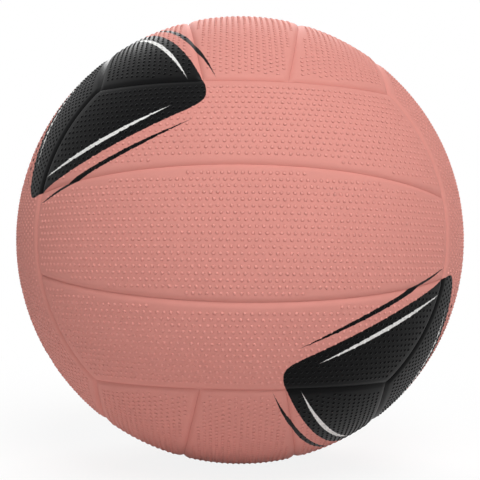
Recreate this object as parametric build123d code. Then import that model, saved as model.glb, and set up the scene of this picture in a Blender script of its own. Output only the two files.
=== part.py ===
from build123d import *

import os
from math import acos, atan2, cos, sin, sqrt

# Netball of size 5: a laminated rubber ball with eighteen cover panels and a needle valve.
# The origin is the centre of the ball, +Z is up, the front is -Y and the valve points along +Y.
# Sizes are in millimetres and angles in radians.

# Ball and its layers, from the outside in
ball_diameter = 222.8
cover_thickness = 1.4
carcass_thickness = 0.45
winding_thickness = 0.3
bladder_thickness = 0.45
bond_gap = 0.05

# Cover panels: six groups of three strips, with a wide middle strip that narrows to its ends
middle_panel_width = 55.4
middle_panel_end_width = 35.8
seam_gap = 0.3
panel_edge_radius = 1.2
panel_corner_radius = 2.0
least_wall_under_edge = 0.15

# Valve plug, the self-closing rubber core that a pump needle goes into
needle_bore_diameter = 2.2
needle_bore_length = 8.0
mouth_flare = 0.6
mouth_depth = 0.8
plug_wall = 1.1
plug_seal_length = 5.0
plug_recess = 0.1
plug_clearance = 0.05
bulb_edge_radius = 0.8
tip_edge_radius = 0.6

# Valve housing, the rubber boss that is bonded to the inside of the bladder
neck_wall = 2.15
neck_recess = 0.3
neck_edge_radius = 0.4
neck_clearance = 0.1
chamber_diameter = 6.6
chamber_length = 6.0
barrel_wall = 2.0
throat_length = 2.4
tip_recess = 0.4
flange_width = 8.0
flange_thickness = 0.8
hole_edge_radius = 0.5

# Radii of the layers
ball_radius = ball_diameter / 2
cover_inner_radius = ball_radius - cover_thickness
carcass_outer_radius = cover_inner_radius - bond_gap
carcass_inner_radius = carcass_outer_radius - carcass_thickness
winding_outer_radius = carcass_inner_radius - bond_gap
winding_inner_radius = winding_outer_radius - winding_thickness
bladder_outer_radius = winding_inner_radius - bond_gap
bladder_inner_radius = bladder_outer_radius - bladder_thickness
flange_outer_radius = bladder_inner_radius - bond_gap

# Seams: the groups meet at the corners of a cube, on six circles round the ball's three axes
corner_angle = acos(1 / sqrt(3))
half_gap_angle = seam_gap / 2 / ball_radius
edge_radius = min(panel_edge_radius, cover_thickness - least_wall_under_edge)
turned_over = Rot(0, 180, 0)

# Radii of the valve and of the holes that its neck passes through
needle_radius = needle_bore_diameter / 2
mouth_radius = needle_radius + mouth_flare
plug_radius = needle_radius + plug_wall
bore_radius = plug_radius + plug_clearance
neck_radius = bore_radius + neck_wall
hole_radius = neck_radius + neck_clearance
chamber_radius = chamber_diameter / 2
bulb_radius = chamber_radius - plug_clearance
barrel_radius = chamber_radius + barrel_wall
flange_radius = barrel_radius + flange_width

# Heights along the valve, as distances from the centre of the ball
neck_top = ball_radius - neck_recess
plug_top = neck_top - plug_recess
mouth_bottom = plug_top - mouth_depth
needle_bore_end = mouth_bottom - needle_bore_length
bore_point = needle_bore_end - needle_radius
plug_tip = needle_bore_end - plug_seal_length
barrel_end = plug_tip - tip_recess
chamber_bottom = barrel_end + throat_length
chamber_top = chamber_bottom + chamber_length
bulb_bottom = chamber_bottom + plug_clearance
bulb_top = chamber_top - plug_clearance


def hollow_ball(outer_radius, inner_radius):
    return Sphere(outer_radius) - Sphere(inner_radius)


def seam_plane():
    # Between the middle and upper strips of the front group, facing the upper one
    half_angle = middle_panel_width / 2 / ball_radius
    middle_depth = ball_radius * cos(half_angle)
    middle_height = ball_radius * sin(half_angle)
    end_depth = ball_radius * cos(corner_angle)
    slope = atan2(middle_height - middle_panel_end_width / 2, middle_depth - end_depth)
    seam_middle = (0, -middle_depth, middle_height)
    return Plane(origin=seam_middle, x_dir=(1, 0, 0), z_dir=(0, sin(slope), cos(slope)))


def front_group():
    # Outer face of the three front strips, cut from the ball's surface by the circles of its four seams
    end_distance = ball_radius * cos(corner_angle - half_gap_angle)
    upper_distance = ball_radius * cos(corner_angle + half_gap_angle)
    end_circle = Plane(origin=(0, -end_distance, 0), x_dir=(1, 0, 0), z_dir=(0, -1, 0))
    upper_circle = Plane.XY.offset(upper_distance)
    face = split(Sphere(ball_radius).face(), end_circle, Keep.TOP)
    face = turned_over * split(face, upper_circle, Keep.BOTTOM)
    return split(face, upper_circle, Keep.BOTTOM)


def moulded_panel(outer_face):
    # Side walls stand square to the ball's surface, and every edge that shows is rolled
    panel = thicken(outer_face.face(), -cover_thickness)
    outer, inner = panel.faces().filter_by(GeomType.SPHERE).sort_by(SortBy.AREA, reverse=True)
    corners = panel.edges() - outer.edges() - inner.edges()
    panel = fillet(corners, panel_corner_radius)
    outer = panel.faces().filter_by(GeomType.SPHERE).sort_by(SortBy.AREA)[-1]
    return fillet(outer.edges(), edge_radius)


def side_panel(group):
    # Upper strip of the front group
    return moulded_panel(split(group, seam_plane().offset(seam_gap / 2), Keep.TOP))


def middle_panel(group):
    upper_seam = seam_plane().offset(-seam_gap / 2)
    without_upper = split(group, upper_seam, Keep.BOTTOM)
    return moulded_panel(split(turned_over * without_upper, upper_seam, Keep.BOTTOM))


def rod(radius, low, high):
    # A round bar on the valve's axis
    upper_end = (Align.CENTER, Align.CENTER, Align.MAX)
    return Pos(0, low, 0) * Rot(90, 0, 0) * Cylinder(radius, high - low, align=upper_end)


def valve_hole(layer):
    return layer - rod(hole_radius, 0, ball_diameter)


def valve_panel(panel):
    panel = valve_hole(panel)
    outer = panel.faces().filter_by(GeomType.SPHERE).sort_by(SortBy.AREA)[-1]
    return fillet(outer.inner_wires().edges(), hole_edge_radius)


def valve_housing():
    bladder_space = Sphere(flange_outer_radius)
    flange = hollow_ball(flange_outer_radius, flange_outer_radius - flange_thickness)
    flange = flange & rod(flange_radius, 0, ball_radius)
    barrel = bladder_space & rod(barrel_radius, barrel_end, ball_radius)
    neck = rod(neck_radius, barrel_end, neck_top)
    neck = fillet(neck.edges().sort_by(Axis.Y)[-1], neck_edge_radius)
    housing = flange + barrel + neck
    return housing - rod(bore_radius, 0, ball_radius) - rod(chamber_radius, chamber_bottom, chamber_top)


def valve_plug():
    # Half section with the radius along X, turned about the valve's axis
    tip = [(0, plug_tip), (plug_radius, plug_tip)]
    bulb = [(plug_radius, bulb_bottom), (bulb_radius, bulb_bottom), (bulb_radius, bulb_top)]
    shank = [(plug_radius, bulb_top), (plug_radius, plug_top), (mouth_radius, plug_top)]
    bore = [(needle_radius, mouth_bottom), (needle_radius, needle_bore_end), (0, bore_point)]
    section = make_face(Polyline(*tip, *bulb, *shank, *bore, close=True))
    bulb_corners = section.vertices().filter_by_position(Axis.X, bulb_radius, bulb_radius)
    section = fillet(bulb_corners, bulb_edge_radius)
    tip_corner = section.vertices().group_by(Axis.Y)[0].sort_by(Axis.X)[-1]
    section = fillet(tip_corner, tip_edge_radius)
    return revolve(section, Axis.Y)


def cover_panels():
    # Each group: the way its strips run, the way across them, and the names of the two side strips
    groups = {
        "front": ((1, 0, 0), (0, 0, 1), "lower", "upper"),
        "back": ((-1, 0, 0), (0, 0, 1), "lower", "upper"),
        "left": ((0, 0, 1), (0, 1, 0), "front", "back"),
        "right": ((0, 0, -1), (0, 1, 0), "front", "back"),
        "top": ((0, -1, 0), (1, 0, 0), "left", "right"),
        "bottom": ((0, 1, 0), (1, 0, 0), "left", "right"),
    }
    group = front_group()
    side = side_panel(group)
    other_side = turned_over * side
    middle = middle_panel(group)
    panels = {}
    for name, (along, across, low_side, high_side) in groups.items():
        place = Plane(origin=(0, 0, 0), x_dir=along, z_dir=across).location
        panels[f"{name}_{high_side}_panel"] = place * side
        panels[f"{name}_middle_panel"] = place * middle
        panels[f"{name}_{low_side}_panel"] = place * other_side
    panels["back_middle_panel"] = valve_panel(panels["back_middle_panel"])
    return panels


parts = cover_panels()
parts["carcass"] = valve_hole(hollow_ball(carcass_outer_radius, carcass_inner_radius))
parts["winding"] = valve_hole(hollow_ball(winding_outer_radius, winding_inner_radius))
parts["bladder"] = valve_hole(hollow_ball(bladder_outer_radius, bladder_inner_radius))
parts["valve_housing"] = valve_housing()
parts["valve_plug"] = valve_plug()

os.makedirs("parts", exist_ok=True)
for name, solid in parts.items():
    export_step(solid, f"parts/{name}.step")
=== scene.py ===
import math

import bpy
import numpy as np
from mathutils import Matrix, Vector


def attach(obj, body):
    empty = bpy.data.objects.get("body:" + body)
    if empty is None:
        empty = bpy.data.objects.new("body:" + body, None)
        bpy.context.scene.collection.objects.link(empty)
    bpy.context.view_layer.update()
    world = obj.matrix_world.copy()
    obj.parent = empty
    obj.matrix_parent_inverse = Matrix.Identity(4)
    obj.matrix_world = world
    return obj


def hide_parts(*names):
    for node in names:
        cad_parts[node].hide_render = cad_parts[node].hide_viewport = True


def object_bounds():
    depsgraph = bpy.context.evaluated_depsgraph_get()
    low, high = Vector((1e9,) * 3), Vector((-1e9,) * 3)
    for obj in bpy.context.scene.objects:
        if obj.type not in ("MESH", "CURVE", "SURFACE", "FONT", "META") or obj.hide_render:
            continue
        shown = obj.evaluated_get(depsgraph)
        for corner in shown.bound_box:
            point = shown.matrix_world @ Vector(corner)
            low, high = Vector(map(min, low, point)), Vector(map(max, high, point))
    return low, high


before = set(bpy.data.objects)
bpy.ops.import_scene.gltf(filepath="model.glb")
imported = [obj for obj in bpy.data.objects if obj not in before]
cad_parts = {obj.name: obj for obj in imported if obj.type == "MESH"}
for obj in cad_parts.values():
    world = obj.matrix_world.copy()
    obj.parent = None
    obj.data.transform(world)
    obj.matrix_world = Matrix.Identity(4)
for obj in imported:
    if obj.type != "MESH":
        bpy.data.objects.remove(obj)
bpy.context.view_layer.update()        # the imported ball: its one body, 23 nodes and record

mm = 0.001
coverRadii = [vertex.co.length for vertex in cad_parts["front_middle_panel"].data.vertices]
ballRadius = max(coverRadii)      # outside of the cover
coverInside = min(coverRadii)     # where the cover lies on the carcass
coverThickness = ballRadius - coverInside
print(f"frame: ball {2 * ballRadius / mm:.1f} mm across, cover {coverThickness / mm:.1f} mm thick")


def addNode(tree, kind, inputs=(), **settings):
    # inputs go in by name, or by place among the sockets in use, and are values, sockets, or nodes,
    # which stand for their first output in use
    node = tree.nodes.new(kind)
    for name, value in settings.items():
        setattr(node, name, value)
    if isinstance(inputs, dict):
        fed = [(node.inputs[name], value) for name, value in inputs.items()]
    else:
        fed = zip([socket for socket in node.inputs if socket.enabled], inputs)
    for socket, value in fed:
        if isinstance(value, bpy.types.Node):
            value = next(output for output in value.outputs if output.enabled)
        if isinstance(value, bpy.types.NodeSocket):
            tree.links.new(value, socket)
        else:
            socket.default_value = value
    return node


def linear(hexColour):
    # sRGB hex to the linear colour that a shader takes
    shares = [int(hexColour[start:start + 2], 16) / 255 for start in (1, 3, 5)]
    return [s / 12.92 if s <= 0.04045 else ((s + 0.055) / 1.055) ** 2.4 for s in shares] + [1.0]


def emptyTree(owner):
    owner.use_nodes = True
    owner.node_tree.nodes.clear()
    return owner.node_tree


def newMaterial(name):
    material = bpy.data.materials.new(name)
    tree = emptyTree(material)
    surface = addNode(tree, "ShaderNodeBsdfPrincipled")
    addNode(tree, "ShaderNodeOutputMaterial", [surface])
    return material, tree, surface


noiseLow, noiseHigh = 0.3, 0.7    # most of a noise texture's values lie between these


# Seams: six groups of three strips that meet at the corners of a cube.
# In a strip's own frame x runs along it, -y points out of the ball and z runs across it.
seams = {
    "middleWidth": 55.4,       # mm across a middle strip at its centre
    "middleEndWidth": 35.8,    # mm at its two ends
    "jointGap": 0.06,          # mm left between two panels at the bottom of a groove
    "grooveReach": 2.8,        # mm from the joint to the full height of the panel
    "grooveDepth": 1.0,        # mm at the joint
}
cubeShare = 1 / math.sqrt(3)
cornerAngle = math.acos(cubeShare)
halfWidthAngle = seams["middleWidth"] * mm / 2 / ballRadius
endHeight = seams["middleEndWidth"] * mm / 2 / ballRadius
endReach = math.sqrt(1 - cubeShare ** 2 - endHeight ** 2)
midSlope = math.atan2(math.sin(halfWidthAngle) - endHeight, math.cos(halfWidthAngle) - cubeShare)
midAxis = np.array([0, math.sin(midSlope), math.cos(midSlope)])
midAngle = math.acos(midAxis @ [0, -math.cos(halfWidthAngle), math.sin(halfWidthAngle)])
outAxis = np.array([0, -1.0, 0])
upAxis = np.array([0, 0, 1.0])
mirrorUp = np.array([1, 1, -1])
mirrorAlong = np.array([-1, 1, 1])
stripEnd = np.array([endReach, -cubeShare, endHeight])
cubeCorner = np.array([cubeShare, -cubeShare, cubeShare])
endCircle = (-outAxis, math.pi - cornerAngle)

# Each strip: its lower and upper seam as (axis of the circle, right-hand end), the circles that it
# lies outside of as (axis, angle), and the latitude of its middle
strips = {
    "side": {
        "low": (midAxis, stripEnd),
        "high": (upAxis, cubeCorner),
        "circles": [(upAxis, cornerAngle), (-midAxis, math.pi - midAngle), endCircle],
        "latitude": (halfWidthAngle + math.pi / 2 - cornerAngle) / 2,
    },
    "middle": {
        "low": (midAxis * mirrorUp, stripEnd * mirrorUp),
        "high": (midAxis, stripEnd),
        "circles": [(midAxis, midAngle), (midAxis * mirrorUp, midAngle), endCircle],
        "latitude": 0.0,
    },
}
# Each group: the way its strips run, the way across them, and the names of its two side strips
groups = {
    "front": ((1, 0, 0), (0, 0, 1), "lower", "upper"),
    "back": ((-1, 0, 0), (0, 0, 1), "lower", "upper"),
    "left": ((0, 0, 1), (0, 1, 0), "front", "back"),
    "right": ((0, 0, -1), (0, 1, 0), "front", "back"),
    "top": ((0, -1, 0), (1, 0, 0), "left", "right"),
    "bottom": ((0, 1, 0), (1, 0, 0), "left", "right"),
}


# Print: a rounded black patch at every other cube corner, with fine lines beside its sides.
# A line is widest at its middle and runs out towards both its ends.
patch = {
    "sideDistance": 39.0,     # mm from the corner to the middle of a side
    "sideRadius": 128.0,      # mm, how far off the centre of a side's arc is
    "tipRounding": 14.0,      # mm over which two sides run together
    "whiteLine": {"inset": 5.5, "width": 1.9, "halfLength": 34.0},     # mm, inside each side
    "blackLine": {"inset": -5.5, "width": 2.2, "halfLength": 41.0},    # mm, outside each side
    "inkEdge": 0.12,          # mm over which the ink runs out
    "inkWander": 0.1,         # mm that the edge wanders over the pimples
    "wanderSize": 1.6,        # mm
    "wanderDetail": 2.0,
}


def printedInk(tree, outward, coordinates):
    # Folding the ball onto one eighth of it puts all the patches at one corner
    folded = addNode(tree, "ShaderNodeVectorMath", [outward], operation="ABSOLUTE")
    apart = addNode(tree, "ShaderNodeSeparateXYZ", [outward])
    flat = addNode(tree, "ShaderNodeMath", [apart.outputs["X"], apart.outputs["Y"]], operation="MULTIPLY")
    eighth = addNode(tree, "ShaderNodeMath", [flat, apart.outputs["Z"]], operation="MULTIPLY")
    printed = addNode(tree, "ShaderNodeMath", [eighth, 0.0], operation="GREATER_THAN")
    wanderNoise = addNode(tree, "ShaderNodeTexNoise",
                          {"Vector": coordinates, "Scale": 1 / (patch["wanderSize"] * mm),
                           "Detail": patch["wanderDetail"]})
    wander = addNode(tree, "ShaderNodeMapRange",
                     [wanderNoise, noiseLow, noiseHigh, -patch["inkWander"], patch["inkWander"]])

    corner = Vector((1, 1, 1)).normalized()
    back = (patch["sideRadius"] - patch["sideDistance"]) * mm / ballRadius
    inside = None
    lines = {"whiteLine": None, "blackLine": None}
    for side in range(3):
        facing = Vector([(1, -1, 0)[(place - side) % 3] for place in range(3)]).normalized()
        centre = math.cos(back) * corner - math.sin(back) * facing
        cosine = addNode(tree, "ShaderNodeVectorMath", [folded, centre], operation="DOT_PRODUCT")
        angle = addNode(tree, "ShaderNodeMath", [cosine], operation="ARCCOSINE")
        within = addNode(tree, "ShaderNodeMath", [angle, -ballRadius / mm, patch["sideRadius"]],
                         operation="MULTIPLY_ADD")
        within = addNode(tree, "ShaderNodeMath", [within, wander], operation="ADD")
        inside = within if side == 0 else addNode(
            tree, "ShaderNodeMath", [inside, within, patch["tipRounding"]], operation="SMOOTH_MIN")
        along = addNode(tree, "ShaderNodeVectorMath", [folded, corner.cross(facing)],
                        operation="DOT_PRODUCT")
        for name in lines:
            line = patch[name]
            share = addNode(tree, "ShaderNodeMath", [along, ballRadius / mm / line["halfLength"]],
                            operation="MULTIPLY")
            square = addNode(tree, "ShaderNodeMath", [share, share], operation="MULTIPLY")
            halfWidth = addNode(tree, "ShaderNodeMath", [square, -line["width"] / 2, line["width"] / 2],
                                operation="MULTIPLY_ADD")
            off = addNode(tree, "ShaderNodeMath", [within, line["inset"]], operation="SUBTRACT")
            aside = addNode(tree, "ShaderNodeMath", [off], operation="ABSOLUTE")
            depth = addNode(tree, "ShaderNodeMath", [halfWidth, aside], operation="SUBTRACT")
            lines[name] = depth if side == 0 else addNode(
                tree, "ShaderNodeMath", [lines[name], depth], operation="MAXIMUM")
    edge = patch["inkEdge"] / 2
    blackDepth = addNode(tree, "ShaderNodeMath", [inside, lines["blackLine"]], operation="MAXIMUM")
    inks = []
    for depth in (blackDepth, lines["whiteLine"]):
        cover = addNode(tree, "ShaderNodeMapRange", [depth, -edge, edge, 0.0, 1.0])
        inks.append(addNode(tree, "ShaderNodeMath", [cover, printed], operation="MULTIPLY"))
    return inks


# Natural rubber, moulded in a pimpled mould: dull and soft to the eye, cloudy by a shade or two, with
# painted shade deeper in the grooves and a painted highlight paler on the pimple tops; the inks lie flat on
# it
coverRubber = {
    "pink": "#dc958b",
    "cloudPink": "#d58e84",
    "paintedGrooveShade": "#d89086",
    "paintedPimpleHighlight": "#e49f95",
    "blackInk": "#0b0b0c",
    "whiteInk": "#e9e8e6",
    "grooveShadeStart": 0.1,    # mm below the surface to where the painted groove shade begins
    "cloudSize": 34.0,     # mm
    "cloudDetail": 3.0,
    "grainSize": 0.9,      # mm, coarser than the real bloom so that it shows
    "grainDetail": 2.0,
    "grainHeight": 0.03,   # mm
    "grainStrength": 0.5,
    "roughness": 0.64,
    "roughnessSpread": 0.06,
    "inkRoughness": 0.42,
    "ior": 1.52,
    "specular": 0.06,      # bloom on the rubber takes off most of the shine
}


def makeCoverRubber():
    material, tree, surface = newMaterial("mouldedNaturalRubber_printed")
    coordinates = addNode(tree, "ShaderNodeTexCoord").outputs["Object"]
    outward = addNode(tree, "ShaderNodeVectorMath", [coordinates], operation="NORMALIZE")
    height = addNode(tree, "ShaderNodeVectorMath", [coordinates], operation="LENGTH")
    clouds, grain = (
        addNode(tree, "ShaderNodeTexNoise",
                {"Vector": coordinates, "Scale": 1 / (coverRubber[name + "Size"] * mm),
                 "Detail": coverRubber[name + "Detail"]})
        for name in ("cloud", "grain"))
    # painted shade: the pink deepens towards the bottom of the grooves
    low = addNode(tree, "ShaderNodeMapRange",
                  [height, ballRadius - seams["grooveDepth"] * mm,
                   ballRadius - coverRubber["grooveShadeStart"] * mm, 1.0, 0.0])
    # painted highlight: the pink pales towards the tops of the pimples
    high = addNode(tree, "ShaderNodeMapRange",
                   [height, ballRadius, ballRadius + pimples["height"] * mm, 0.0, 1.0])
    black, white = printedInk(tree, outward, coordinates)
    colour = linear(coverRubber["pink"])
    for share, name in ((clouds, "cloudPink"), (low, "paintedGrooveShade"), (high, "paintedPimpleHighlight"),
                        (black, "blackInk"), (white, "whiteInk")):
        colour = addNode(tree, "ShaderNodeMix", [share, colour, linear(coverRubber[name])],
                         data_type="RGBA")
    smoothest = coverRubber["roughness"] - coverRubber["roughnessSpread"]
    roughest = coverRubber["roughness"] + coverRubber["roughnessSpread"]
    rough = addNode(tree, "ShaderNodeMapRange", [grain, noiseLow, noiseHigh, smoothest, roughest])
    inked = addNode(tree, "ShaderNodeMath", [black, white], operation="MAXIMUM")
    rough = addNode(tree, "ShaderNodeMix", [inked, rough, coverRubber["inkRoughness"]], data_type="FLOAT")
    bump = addNode(tree, "ShaderNodeBump", {"Strength": coverRubber["grainStrength"], "Height": grain,
                                            "Distance": coverRubber["grainHeight"] * mm})
    tree.links.new(colour.outputs["Result"], surface.inputs["Base Color"])
    tree.links.new(rough.outputs["Result"], surface.inputs["Roughness"])
    tree.links.new(bump.outputs["Normal"], surface.inputs["Normal"])
    surface.inputs["IOR"].default_value = coverRubber["ior"]
    surface.inputs["Specular IOR Level"].default_value = coverRubber["specular"]
    return material


# Inner layers and valve: each a rubber of one plain colour that varies by a shade over some mm
innerRubbers = {
    # compounded rubber, calendered: dull and cloudy, deeper in colour than the cover
    "carcass": {"name": "calenderedRubber", "colour": "#a85f57", "shade": "#96524b", "size": 6.0,
                "roughness": 0.7, "height": 0.05},
    # butyl rubber, dipped: black with a slight waxy shine
    "bladder": {"name": "dippedButylRubber", "colour": "#1c1b1b", "shade": "#121212", "size": 9.0,
                "roughness": 0.45, "height": 0.03},
    # butyl rubber, moulded: black, with the dull skin that a steel mould leaves
    "valve_housing": {"name": "mouldedButylRubber", "colour": "#232223", "shade": "#171717", "size": 0.8,
                      "roughness": 0.55, "height": 0.03},
    # silicone-dressed rubber, moulded: dark grey and slightly slick from the needle oil
    "valve_plug": {"name": "dressedRubber", "colour": "#2f2e2e", "shade": "#222121", "size": 0.6,
                   "roughness": 0.4, "height": 0.02},
}
innerClouds = {"detail": 4.0, "strength": 0.6, "ior": 1.52}


def makeInnerRubber(look):
    material, tree, surface = newMaterial(look["name"])
    coordinates = addNode(tree, "ShaderNodeTexCoord").outputs["Object"]
    clouds = addNode(tree, "ShaderNodeTexNoise", {"Vector": coordinates, "Detail": innerClouds["detail"],
                                                  "Scale": 1 / (look["size"] * mm)})
    colour = addNode(tree, "ShaderNodeMix", [clouds, linear(look["colour"]), linear(look["shade"])],
                     data_type="RGBA")
    bump = addNode(tree, "ShaderNodeBump", {"Strength": innerClouds["strength"], "Height": clouds,
                                            "Distance": look["height"] * mm})
    tree.links.new(colour.outputs["Result"], surface.inputs["Base Color"])
    tree.links.new(bump.outputs["Normal"], surface.inputs["Normal"])
    surface.inputs["Roughness"].default_value = look["roughness"]
    surface.inputs["IOR"].default_value = innerClouds["ior"]
    return material


# Nylon thread, wound: off-white turns that cross each other, with painted shade down between the turns and
# a painted highlight along their tops
windingThread = {
    "colour": "#e8e5dc",
    "shade": "#a9a498",
    "spacing": 1.1,       # mm from one turn to the next
    "height": 0.12,       # mm
    "lay": 35.0,          # degrees that the turns lean each way
    "roughness": 0.45,
    "ior": 1.53,
}
wavePeriod = 2 * math.pi / 20    # m, over which a wave texture of scale 1 repeats


def makeWindingThread():
    material, tree, surface = newMaterial("woundNylonThread")
    coordinates = addNode(tree, "ShaderNodeTexCoord").outputs["Object"]
    lay = math.radians(windingThread["lay"])
    turns = []
    for lean in (lay, -lay):
        turned = addNode(tree, "ShaderNodeMapping", {"Vector": coordinates, "Rotation": (lean, lean, 0)})
        wave = addNode(tree, "ShaderNodeTexWave",
                       {"Vector": turned, "Scale": wavePeriod / (windingThread["spacing"] * mm)})
        turns.append(wave.outputs["Fac"])
    tops = addNode(tree, "ShaderNodeMath", turns, operation="MAXIMUM")
    # painted shade between the turns and a painted highlight along their tops; the bump takes the same tops
    colour = addNode(tree, "ShaderNodeMix",
                     [tops, linear(windingThread["shade"]), linear(windingThread["colour"])],
                     data_type="RGBA")
    bump = addNode(tree, "ShaderNodeBump", {"Height": tops, "Distance": windingThread["height"] * mm})
    tree.links.new(colour.outputs["Result"], surface.inputs["Base Color"])
    tree.links.new(bump.outputs["Normal"], surface.inputs["Normal"])
    surface.inputs["Roughness"].default_value = windingThread["roughness"]
    surface.inputs["IOR"].default_value = windingThread["ior"]
    return material


# Panels: the plain strip is meshed here, and the node tree sinks its edges and sets the pimples
panelMesh = {
    "edgeLines": (0.3, 0.6, 0.9, 1.2, 1.5, 1.8, 2.15, 2.6, 3.4),   # mm in from a joint
    "innerRows": 14,
    "innerColumns": 44,
}
pimples = {
    "spacing": 2.8,      # mm from one to the next in a row
    "rowSpacing": 2.66,  # mm from one row to the next
    "width": 1.6,        # mm across the foot
    "height": 0.32,      # mm
    "sink": 0.05,        # mm of the foot that is below the surface
    "sides": 12,
    "steps": 2,          # from the foot to the top
    "spread": 0.06,      # how much their sizes differ
    "seamMargin": 3.2,   # mm from a joint to the nearest centre
    "columns": 83,       # enough for the longest strip
    "rows": 25,          # enough for the widest one
    "seed": 7,
}
valveHole = {
    "panel": "back_middle_panel",
    "axis": (0, 1, 0),
    "radius": 4.5,       # mm
    "rimRadius": 0.5,    # mm, the rolled edge of the hole
    "rings": (4.5, 4.57, 4.75, 5.0, 5.4, 6.0, 7.0, 8.5, 11.0, 14.0),   # mm, lines of the mesh round it
    "insideRings": (1.5, 3.0),     # mm, lines that the hole takes away
    "roundTo": 7.0,      # mm, the outermost ring that is a true circle
    "bareRadius": 9.0,   # mm round the valve that are left without pimples
}


def alongCircle(axis, start, end, shares):
    # points from start to end on the circle round axis that both lie on
    middle = axis * (axis @ start)
    arm, lastArm = start - middle, end - middle
    turn = math.atan2(axis @ np.cross(arm, lastArm), arm @ lastArm)
    angles = turn * np.asarray(shares)[..., None]
    return middle + np.cos(angles) * arm + np.sin(angles) * np.cross(axis, arm)


def lineShares(length, count, holeLines):
    # where lines cross a strip of this length: close together at both edges, and round a valve hole
    edge = np.array((seams["jointGap"] / 2,) + panelMesh["edgeLines"]) * mm / length
    if holeLines is None:
        inner = np.linspace(edge[-1], 1 - edge[-1], count + 2)[1:-1]
    else:
        beside = np.linspace(edge[-1], 0.5 + holeLines[0] * mm / length, count // 2)[1:-1]
        inner = np.concatenate([beside, 0.5 + holeLines * mm / length, 1 - beside[::-1]])
    return np.concatenate([edge, inner, 1 - edge[::-1]])


def stripGrid(strip, holeLines):
    # unit vectors of a grid over the strip, blended from its four edges
    (lowAxis, lowRight), (highAxis, highRight) = strip["low"], strip["high"]
    lowLeft, highLeft = lowRight * mirrorAlong, highRight * mirrorAlong
    length = math.acos(lowLeft @ lowRight) * ballRadius
    u = lineShares(length, panelMesh["innerColumns"], holeLines)
    low = alongCircle(lowAxis, lowLeft, lowRight, u)
    high = alongCircle(highAxis, highLeft, highRight, u)
    widths = np.arccos(np.sum(low * high, axis=1)) * ballRadius
    v = np.array([lineShares(width, panelMesh["innerRows"], holeLines) for width in widths])
    left = alongCircle(outAxis, lowLeft, highLeft, v)
    right = alongCircle(outAxis, lowRight, highRight, v)
    u, low, high = u[:, None, None], low[:, None], high[:, None]
    v = v[..., None]
    corners = (1 - u) * ((1 - v) * lowLeft + v * highLeft) + u * ((1 - v) * lowRight + v * highRight)
    points = (1 - v) * low + v * high + (1 - u) * left + u * right - corners
    return points / np.linalg.norm(points, axis=2, keepdims=True)


def roundValveHole(points, holeLines):
    # draws the square rings of the grid round the centre into circles; gives each point's ring in mm
    besides = (np.array(points.shape[:2]) - len(holeLines)) // 2
    across, up = (np.concatenate([np.full(count, np.inf), np.abs(holeLines), np.full(count, np.inf)])
                  for count in besides)
    rings = np.maximum(across[:, None], up[None, :])
    near = np.isfinite(rings) & (rings > 0)
    flat = points[..., [0, 2]] * ballRadius / mm
    distance = np.maximum(np.hypot(flat[..., 0], flat[..., 1]), 1e-6)
    outermost = holeLines[-1]
    share = np.clip((outermost - rings) / (outermost - valveHole["roundTo"]), 0, 1)
    share = np.where(near, share * share * (3 - 2 * share), 0)
    scale = 1 + share * (np.where(near, rings, distance) / distance - 1)
    flat = flat * scale[..., None] * mm / ballRadius
    points[..., 0], points[..., 2] = flat[..., 0], flat[..., 1]
    points[..., 1] = -np.sqrt(1 - np.sum(flat ** 2, axis=2))
    return rings


def panelBlank(name, strip, place, hasValve):
    # a closed strip of even thickness: its outer face, its underside and the walls between them
    holeLines = None
    if hasValve:
        half = np.array(valveHole["insideRings"] + valveHole["rings"])
        holeLines = np.concatenate([-half[::-1], [0], half])
    points = stripGrid(strip, holeLines)
    columns, rows = points.shape[:2]
    rings = roundValveHole(points, holeLines) if hasValve else np.full((columns, rows), np.inf)
    kept = rings >= valveHole["radius"]
    fromEdge = np.clip((rings - valveHole["radius"]) / valveHole["rimRadius"], 0, 1)
    heights = ballRadius - valveHole["rimRadius"] * mm * (1 - np.sqrt(1 - (1 - fromEdge) ** 2))
    numbers = np.cumsum(kept.ravel()).reshape(columns, rows) - 1
    outer = (points * heights[..., None])[kept] @ place.T
    inner = (points * coverInside)[kept] @ place.T
    faces = []
    directed = set()
    for i in range(columns - 1):
        for j in range(rows - 1):
            square = [(i, j), (i + 1, j), (i + 1, j + 1), (i, j + 1)]
            if max(rings[at] for at in square) <= valveHole["radius"]:
                continue
            face = [int(numbers[at]) for at in square]
            faces.append(face)
            directed.update(zip(face, face[1:] + face[:1]))
    rim = [(start, end) for face in faces for start, end in zip(face, face[1:] + face[:1])
           if (end, start) not in directed]
    count = len(outer)
    walls = [(end, start, start + count, end + count) for start, end in rim]
    under = [[number + count for number in reversed(face)] for face in faces]
    mesh = bpy.data.meshes.new(name)
    mesh.from_pydata(np.concatenate([outer, inner]).tolist(), [], faces + walls + under)
    creases = {frozenset(edge) for edge in rim} | {frozenset((a + count, b + count)) for a, b in rim}
    for edge in mesh.edges:
        edge.use_edge_sharp = frozenset(edge.vertices) in creases
    panel = bpy.data.objects.new(name, mesh)
    bpy.context.scene.collection.objects.link(panel)
    return panel


panelInputs = {
    "NodeSocketGeometry": ["Blank"],
    "NodeSocketMaterial": ["Rubber"],
    "NodeSocketFloat": [
        "Ball Radius", "Groove Reach", "Groove Depth", "Pimple Spacing", "Row Spacing", "Pimple Width",
        "Pimple Height", "Pimple Sink", "Pimple Spread", "Seam Margin", "Middle Latitude", "Bare Radius",
        "Circle 1 Angle", "Circle 2 Angle", "Circle 3 Angle"],
    "NodeSocketInt": ["Pimple Sides", "Pimple Steps", "Pimple Columns", "Pimple Rows", "Seed"],
    "NodeSocketVector": [
        "Along", "Across", "Outward", "Bare Axis", "Circle 1 Axis", "Circle 2 Axis", "Circle 3 Axis"],
}


def surfaceDistance(tree, given, outward, axis):
    # distance along the ball's surface from a point on it to the axis
    cosine = addNode(tree, "ShaderNodeVectorMath", [outward, axis], operation="DOT_PRODUCT")
    angle = addNode(tree, "ShaderNodeMath", [cosine], operation="ARCCOSINE")
    return addNode(tree, "ShaderNodeMath", [angle, given["Ball Radius"]], operation="MULTIPLY")


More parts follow.
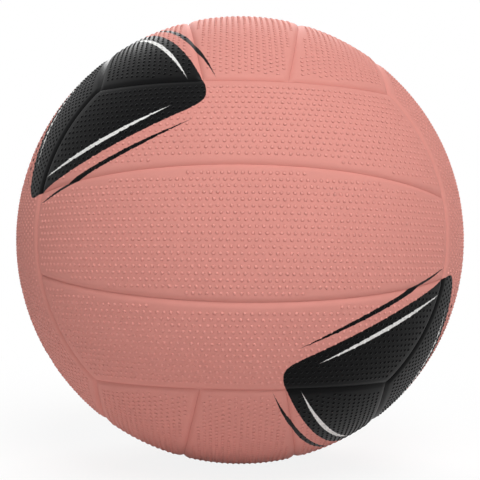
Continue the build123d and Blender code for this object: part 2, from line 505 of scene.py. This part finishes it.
def seamFields(tree, given, outward):
    # how far the panel stands at full height, and the distance to the nearest of its seams
    level, clear = None, None
    for circle in ("Circle 1", "Circle 2", "Circle 3"):
        toAxis = surfaceDistance(tree, given, outward, given[circle + " Axis"])
        reach = addNode(tree, "ShaderNodeMath", [given[circle + " Angle"], given["Ball Radius"]],
                        operation="MULTIPLY")
        distance = addNode(tree, "ShaderNodeMath", [toAxis, reach], operation="SUBTRACT")
        fall = addNode(tree, "ShaderNodeMapRange", [distance, 0.0, given["Groove Reach"], 1.0, 0.0])
        fall = addNode(tree, "ShaderNodeMath", [fall, fall], operation="MULTIPLY")   # a rolled edge
        rise = addNode(tree, "ShaderNodeMath", [1.0, fall], operation="SUBTRACT")
        if level is None:
            level, clear = rise, distance
        else:
            level = addNode(tree, "ShaderNodeMath", [level, rise], operation="MULTIPLY")
            clear = addNode(tree, "ShaderNodeMath", [clear, distance], operation="MINIMUM")
    return level, clear


def groovedBlank(tree, given, position, outward, level):
    # the blank's outer face sinks into the grooves
    height = addNode(tree, "ShaderNodeVectorMath", [position], operation="LENGTH")
    floorHeight = addNode(tree, "ShaderNodeMath", [given["Ball Radius"], given["Groove Depth"]],
                          operation="SUBTRACT")
    onTop = addNode(tree, "ShaderNodeMath", [height, floorHeight], operation="GREATER_THAN")
    drop = addNode(tree, "ShaderNodeMath", [level, 1.0], operation="SUBTRACT")
    drop = addNode(tree, "ShaderNodeMath", [drop, given["Groove Depth"]], operation="MULTIPLY")
    offset = addNode(tree, "ShaderNodeVectorMath", [outward, drop], operation="SCALE")
    return addNode(tree, "GeometryNodeSetPosition",
                   {"Geometry": given["Blank"], "Selection": onTop, "Offset": offset})


def pimplePoints(tree, given, position, outward, clear):
    # a flat grid of points, every other row half a step on, laid round the ball
    lastColumn = addNode(tree, "ShaderNodeMath", [given["Pimple Columns"], 1.0], operation="SUBTRACT")
    lastRow = addNode(tree, "ShaderNodeMath", [given["Pimple Rows"], 1.0], operation="SUBTRACT")
    gridLength = addNode(tree, "ShaderNodeMath", [lastColumn, given["Pimple Spacing"]],
                         operation="MULTIPLY")
    gridWidth = addNode(tree, "ShaderNodeMath", [lastRow, given["Row Spacing"]], operation="MULTIPLY")
    grid = addNode(tree, "GeometryNodeMeshGrid",
                   {"Size X": gridLength, "Size Y": gridWidth, "Vertices X": given["Pimple Columns"],
                    "Vertices Y": given["Pimple Rows"]})
    apart = addNode(tree, "ShaderNodeSeparateXYZ", [position])
    row = addNode(tree, "ShaderNodeMath", [apart.outputs["Y"], given["Row Spacing"]], operation="DIVIDE")
    row = addNode(tree, "ShaderNodeMath", [row], operation="ROUND")
    odd = addNode(tree, "ShaderNodeMath", [row, 2.0], operation="FLOORED_MODULO")
    half = addNode(tree, "ShaderNodeMath", [given["Pimple Spacing"], 0.5], operation="MULTIPLY")
    along = addNode(tree, "ShaderNodeMath", [odd, half, apart.outputs["X"]], operation="MULTIPLY_ADD")
    middleCosine = addNode(tree, "ShaderNodeMath", [given["Middle Latitude"]], operation="COSINE")
    rowRadius = addNode(tree, "ShaderNodeMath", [middleCosine, given["Ball Radius"]], operation="MULTIPLY")
    longitude = addNode(tree, "ShaderNodeMath", [along, rowRadius], operation="DIVIDE")
    latitude = addNode(tree, "ShaderNodeMath", [apart.outputs["Y"], given["Ball Radius"]],
                       operation="DIVIDE")
    latitude = addNode(tree, "ShaderNodeMath", [latitude, given["Middle Latitude"]], operation="ADD")

    # the feet stand a little under the surface
    footHeight = addNode(tree, "ShaderNodeMath", [given["Ball Radius"], given["Pimple Sink"]],
                         operation="SUBTRACT")
    up = addNode(tree, "ShaderNodeMath", [latitude], operation="SINE")
    level = addNode(tree, "ShaderNodeMath", [latitude], operation="COSINE")
    place = None
    for direction, turn, share in (("Across", None, up), ("Outward", "COSINE", level),
                                   ("Along", "SINE", level)):
        if turn is not None:
            turned = addNode(tree, "ShaderNodeMath", [longitude], operation=turn)
            share = addNode(tree, "ShaderNodeMath", [turned, share], operation="MULTIPLY")
        reach = addNode(tree, "ShaderNodeMath", [share, footHeight], operation="MULTIPLY")
        step = addNode(tree, "ShaderNodeVectorMath", [given[direction], reach], operation="SCALE")
        place = step if place is None else addNode(tree, "ShaderNodeVectorMath", [place, step],
                                                   operation="ADD")
    points = addNode(tree, "GeometryNodeSetPosition", {"Geometry": grid, "Position": place})

    # points beyond the panel, too near a joint or too near the valve go
    tooNear = addNode(tree, "ShaderNodeMath", [clear, given["Seam Margin"]], operation="LESS_THAN")
    fromValve = surfaceDistance(tree, given, outward, given["Bare Axis"])
    atValve = addNode(tree, "ShaderNodeMath", [fromValve, given["Bare Radius"]], operation="LESS_THAN")
    unwanted = addNode(tree, "ShaderNodeMath", [tooNear, atValve], operation="MAXIMUM")
    return addNode(tree, "GeometryNodeDeleteGeometry", {"Geometry": points, "Selection": unwanted})


def pimpleDome(tree, given, position):
    # one pimple: a low closed dome, standing on its foot
    footRadius = addNode(tree, "ShaderNodeMath", [given["Pimple Width"], 0.5], operation="MULTIPLY")
    tallness = addNode(tree, "ShaderNodeMath", [given["Pimple Height"], given["Pimple Sink"]],
                       operation="ADD")
    cone = addNode(tree, "GeometryNodeMeshCone",
                   {"Vertices": given["Pimple Sides"], "Side Segments": given["Pimple Steps"],
                    "Radius Bottom": footRadius, "Radius Top": 0.0, "Depth": tallness})
    flat = addNode(tree, "ShaderNodeVectorMath", [position, (1, 1, 0)], operation="MULTIPLY")
    aside = addNode(tree, "ShaderNodeVectorMath", [flat], operation="LENGTH")
    share = addNode(tree, "ShaderNodeMath", [aside, footRadius], operation="DIVIDE")
    square = addNode(tree, "ShaderNodeMath", [share, share], operation="MULTIPLY")
    rest = addNode(tree, "ShaderNodeMath", [1.0, square], operation="SUBTRACT")
    domeHeight = addNode(tree, "ShaderNodeMath", [rest, tallness], operation="MULTIPLY")
    lift = addNode(tree, "ShaderNodeCombineXYZ", {"Z": domeHeight})
    rounded = addNode(tree, "ShaderNodeVectorMath", [flat, lift], operation="ADD")
    return addNode(tree, "GeometryNodeSetPosition", {"Geometry": cone, "Position": rounded})


def makePanelTree():
    tree = bpy.data.node_groups.new("mouldedPanel", "GeometryNodeTree")
    sockets = {}
    for kind, names in panelInputs.items():
        for name in names:
            socket = tree.interface.new_socket(name=name, in_out="INPUT", socket_type=kind)
            sockets[name] = socket.identifier
    tree.interface.new_socket(name="Panel", in_out="OUTPUT", socket_type="NodeSocketGeometry")
    given = addNode(tree, "NodeGroupInput").outputs
    position = addNode(tree, "GeometryNodeInputPosition")
    outward = addNode(tree, "ShaderNodeVectorMath", [position], operation="NORMALIZE")
    level, clear = seamFields(tree, given, outward)
    blank = groovedBlank(tree, given, position, outward, level)
    points = pimplePoints(tree, given, position, outward, clear)
    dome = pimpleDome(tree, given, position)

    upright = addNode(tree, "FunctionNodeAlignRotationToVector", {"Vector": outward}, axis="Z")
    smallest = addNode(tree, "ShaderNodeMath", [1.0, given["Pimple Spread"]], operation="SUBTRACT")
    largest = addNode(tree, "ShaderNodeMath", [1.0, given["Pimple Spread"]], operation="ADD")
    size = addNode(tree, "FunctionNodeRandomValue", [smallest, largest], data_type="FLOAT")
    tree.links.new(given["Seed"], size.inputs["Seed"])
    scattered = addNode(tree, "GeometryNodeInstanceOnPoints",
                        {"Points": points, "Instance": dome, "Rotation": upright, "Scale": size})
    joined = addNode(tree, "GeometryNodeJoinGeometry", [blank])
    tree.links.new(scattered.outputs["Instances"], joined.inputs["Geometry"])
    realized = addNode(tree, "GeometryNodeRealizeInstances", [joined])
    smooth = addNode(tree, "GeometryNodeSetShadeSmooth", [realized])
    finished = addNode(tree, "GeometryNodeSetMaterial", {"Geometry": smooth, "Material": given["Rubber"]})
    addNode(tree, "NodeGroupOutput", [finished])
    return tree, sockets


def finishPanel(panel, tree, sockets, values):
    # turns the blank into a plain mesh with grooves and pimples, and counts its triangles
    modifier = panel.modifiers.new("moulding", "NODES")
    modifier.node_group = tree
    for name, value in values.items():
        modifier[sockets[name]] = value
    bpy.context.view_layer.update()
    evaluated = panel.evaluated_get(bpy.context.evaluated_depsgraph_get())
    mesh = bpy.data.meshes.new_from_object(evaluated)
    panel.modifiers.remove(modifier)
    panel.data = mesh
    return sum(len(face.vertices) - 2 for face in mesh.polygons)


def makePanels():
    tree, sockets = makePanelTree()
    alike = {
        "Ball Radius": ballRadius,
        "Rubber": makeCoverRubber(),
        "Groove Reach": seams["grooveReach"] * mm,
        "Groove Depth": seams["grooveDepth"] * mm,
        "Pimple Spacing": pimples["spacing"] * mm,
        "Row Spacing": pimples["rowSpacing"] * mm,
        "Pimple Width": pimples["width"] * mm,
        "Pimple Height": pimples["height"] * mm,
        "Pimple Sink": pimples["sink"] * mm,
        "Pimple Sides": pimples["sides"],
        "Pimple Steps": pimples["steps"],
        "Pimple Spread": pimples["spread"],
        "Pimple Columns": pimples["columns"],
        "Pimple Rows": pimples["rows"],
        "Seam Margin": pimples["seamMargin"] * mm,
        "Bare Axis": valveHole["axis"],
    }
    triangles = []
    for group, (along, across, lowSide, highSide) in groups.items():
        for side, kind, way in ((highSide, "side", 1), ("middle", "middle", 1), (lowSide, "side", -1)):
            node = f"{group}_{side}_panel"
            strip = strips[kind]
            runs, crosses = way * np.array(along, float), way * np.array(across, float)
            inward = np.cross(crosses, runs)
            place = np.column_stack([runs, inward, crosses])
            hasValve = node == valveHole["panel"]
            panel = panelBlank(node + "_skin", strip, place, hasValve)
            own = {
                "Seed": pimples["seed"] + len(triangles),
                "Along": runs.tolist(),
                "Across": crosses.tolist(),
                "Outward": (-inward).tolist(),
                "Middle Latitude": strip["latitude"],
                "Bare Radius": valveHole["bareRadius"] * mm if hasValve else 0.0,
            }
            for number, (axis, angle) in enumerate(strip["circles"], 1):
                own[f"Circle {number} Axis"] = (place @ axis).tolist()
                own[f"Circle {number} Angle"] = float(angle)
            triangles.append(finishPanel(panel, tree, sockets, alike | own))
            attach(panel, "root")
            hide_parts(node)
    print(f"panels: {len(triangles)}, {sum(triangles)} triangles, at most {max(triangles)} in one")


def dressInnerNodes():
    looks = {node: makeInnerRubber(look) for node, look in innerRubbers.items()}
    looks["winding"] = makeWindingThread()
    for node, material in looks.items():
        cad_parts[node].data.materials.clear()
        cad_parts[node].data.materials.append(material)
    print("inner layers and valve:", len(looks), "nodes dressed")


# Floor and world: white to the eye, and a soft even light on the ball
studio = {
    "floorSize": 6.0,           # m
    "floorColour": "#f8f8f8",
    "nearGlow": 0.87,           # how far the floor's own white stands in for its light beside the ball
    "nearReach": 0.15,          # m from the middle to where that share starts to grow
    "farReach": 0.5,            # m to where the floor is all white
    "ambient": 0.05,            # strength of the sky's light on the ball
    "skyColour": "#ffffff",
}


def seenDirectly(tree):
    # 1 for what the camera sees, itself, in a reflection or through something clear
    rays = addNode(tree, "ShaderNodeLightPath").outputs
    seen = addNode(tree, "ShaderNodeMath", [rays["Is Camera Ray"], rays["Is Glossy Ray"]],
                   operation="MAXIMUM")
    return addNode(tree, "ShaderNodeMath", [seen, rays["Is Transmission Ray"]], operation="MAXIMUM")


def makeFloor():
    half, height = studio["floorSize"] / 2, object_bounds()[0].z
    mesh = bpy.data.meshes.new("floor")
    corners = [(-half, -half, height), (half, -half, height), (half, half, height), (-half, half, height)]
    mesh.from_pydata(corners, [], [(0, 1, 2, 3)])
    floor = bpy.data.objects.new("floor", mesh)
    bpy.context.scene.collection.objects.link(floor)
    # matt white paper: even, with no shine, and still showing the ball's shadow
    material = bpy.data.materials.new("mattPaper")
    tree = emptyTree(material)
    coordinates = addNode(tree, "ShaderNodeTexCoord").outputs["Object"]
    flat = addNode(tree, "ShaderNodeVectorMath", [coordinates, (1, 1, 0)], operation="MULTIPLY")
    distance = addNode(tree, "ShaderNodeVectorMath", [flat], operation="LENGTH")
    white = addNode(tree, "ShaderNodeMapRange",
                    [distance, studio["nearReach"], studio["farReach"], studio["nearGlow"], 1.0],
                    interpolation_type="SMOOTHSTEP")
    share = addNode(tree, "ShaderNodeMath", [seenDirectly(tree), white], operation="MULTIPLY")
    paper = addNode(tree, "ShaderNodeBsdfDiffuse", {"Color": linear(studio["floorColour"])})
    glow = addNode(tree, "ShaderNodeEmission", {"Color": linear(studio["skyColour"]), "Strength": 1.0})
    mixed = addNode(tree, "ShaderNodeMixShader", [share, paper, glow])
    addNode(tree, "ShaderNodeOutputMaterial", [mixed])
    mesh.materials.append(material)


def makeWorld():
    world = bpy.data.worlds.new("lightTent")
    bpy.context.scene.world = world
    tree = emptyTree(world)
    strength = addNode(tree, "ShaderNodeMapRange", [seenDirectly(tree), 0.0, 1.0, studio["ambient"], 1.0])
    sky = addNode(tree, "ShaderNodeBackground",
                  {"Color": linear(studio["skyColour"]), "Strength": strength})
    addNode(tree, "ShaderNodeOutputWorld", [sky])


# Round soft boxes that face the ball: place and size in m, power in W
lamps = {
    "keyBox": {"place": (0.16, -0.82, 1.0), "size": 0.8, "power": 14.8},
    "frontBox": {"place": (0.15, -1.6, 0.35), "size": 1.2, "power": 1.5},
    "backBox": {"place": (0.0, 1.3, 1.0), "size": 1.0, "power": 18.0},
}


def makeLamps():
    for name, lamp in lamps.items():
        light = bpy.data.lights.new(name, "AREA")
        light.shape = "DISK"
        light.size = lamp["size"]
        light.energy = lamp["power"]
        holder = bpy.data.objects.new(name, light)
        holder.location = lamp["place"]
        holder.rotation_mode = "QUATERNION"
        holder.rotation_quaternion = (-Vector(lamp["place"])).to_track_quat("-Z", "Y")
        bpy.context.scene.collection.objects.link(holder)
    print("studio:", len(lamps), "lamps, floor and world")


camera = {
    "distance": 4.1,      # ball radii from the centre
    "lens": 66.65,        # mm
    "sensor": 36.0,       # mm wide
    "nearest": 0.01,      # m, what is closer isn't drawn
    "below": 1.45,        # degrees under the level of the centre
    "aside": -1.15,       # degrees round to the right
    "roll": 0.6,          # degrees that its top leans to the left
}


def makeCamera():
    below, aside, roll = (math.radians(camera[name]) for name in ("below", "aside", "roll"))
    back = Vector((math.cos(below) * math.sin(aside), -math.cos(below) * math.cos(aside), -math.sin(below)))
    data = bpy.data.cameras.new("camera")
    data.lens = camera["lens"]
    data.sensor_width = camera["sensor"]
    data.clip_start = camera["nearest"]
    holder = bpy.data.objects.new("camera", data)
    turned = (-back).to_track_quat("-Z", "Y").to_matrix() @ Matrix.Rotation(roll, 3, "Z")
    holder.matrix_world = Matrix.Translation(back * camera["distance"] * ballRadius) @ turned.to_4x4()
    bpy.context.scene.collection.objects.link(holder)
    bpy.context.scene.camera = holder
    print("camera:", [round(value, 4) for value in holder.location])


makePanels()
dressInnerNodes()
makeFloor()
makeWorld()
makeLamps()
makeCamera()
bpy.context.scene.view_settings.view_transform = "Standard"
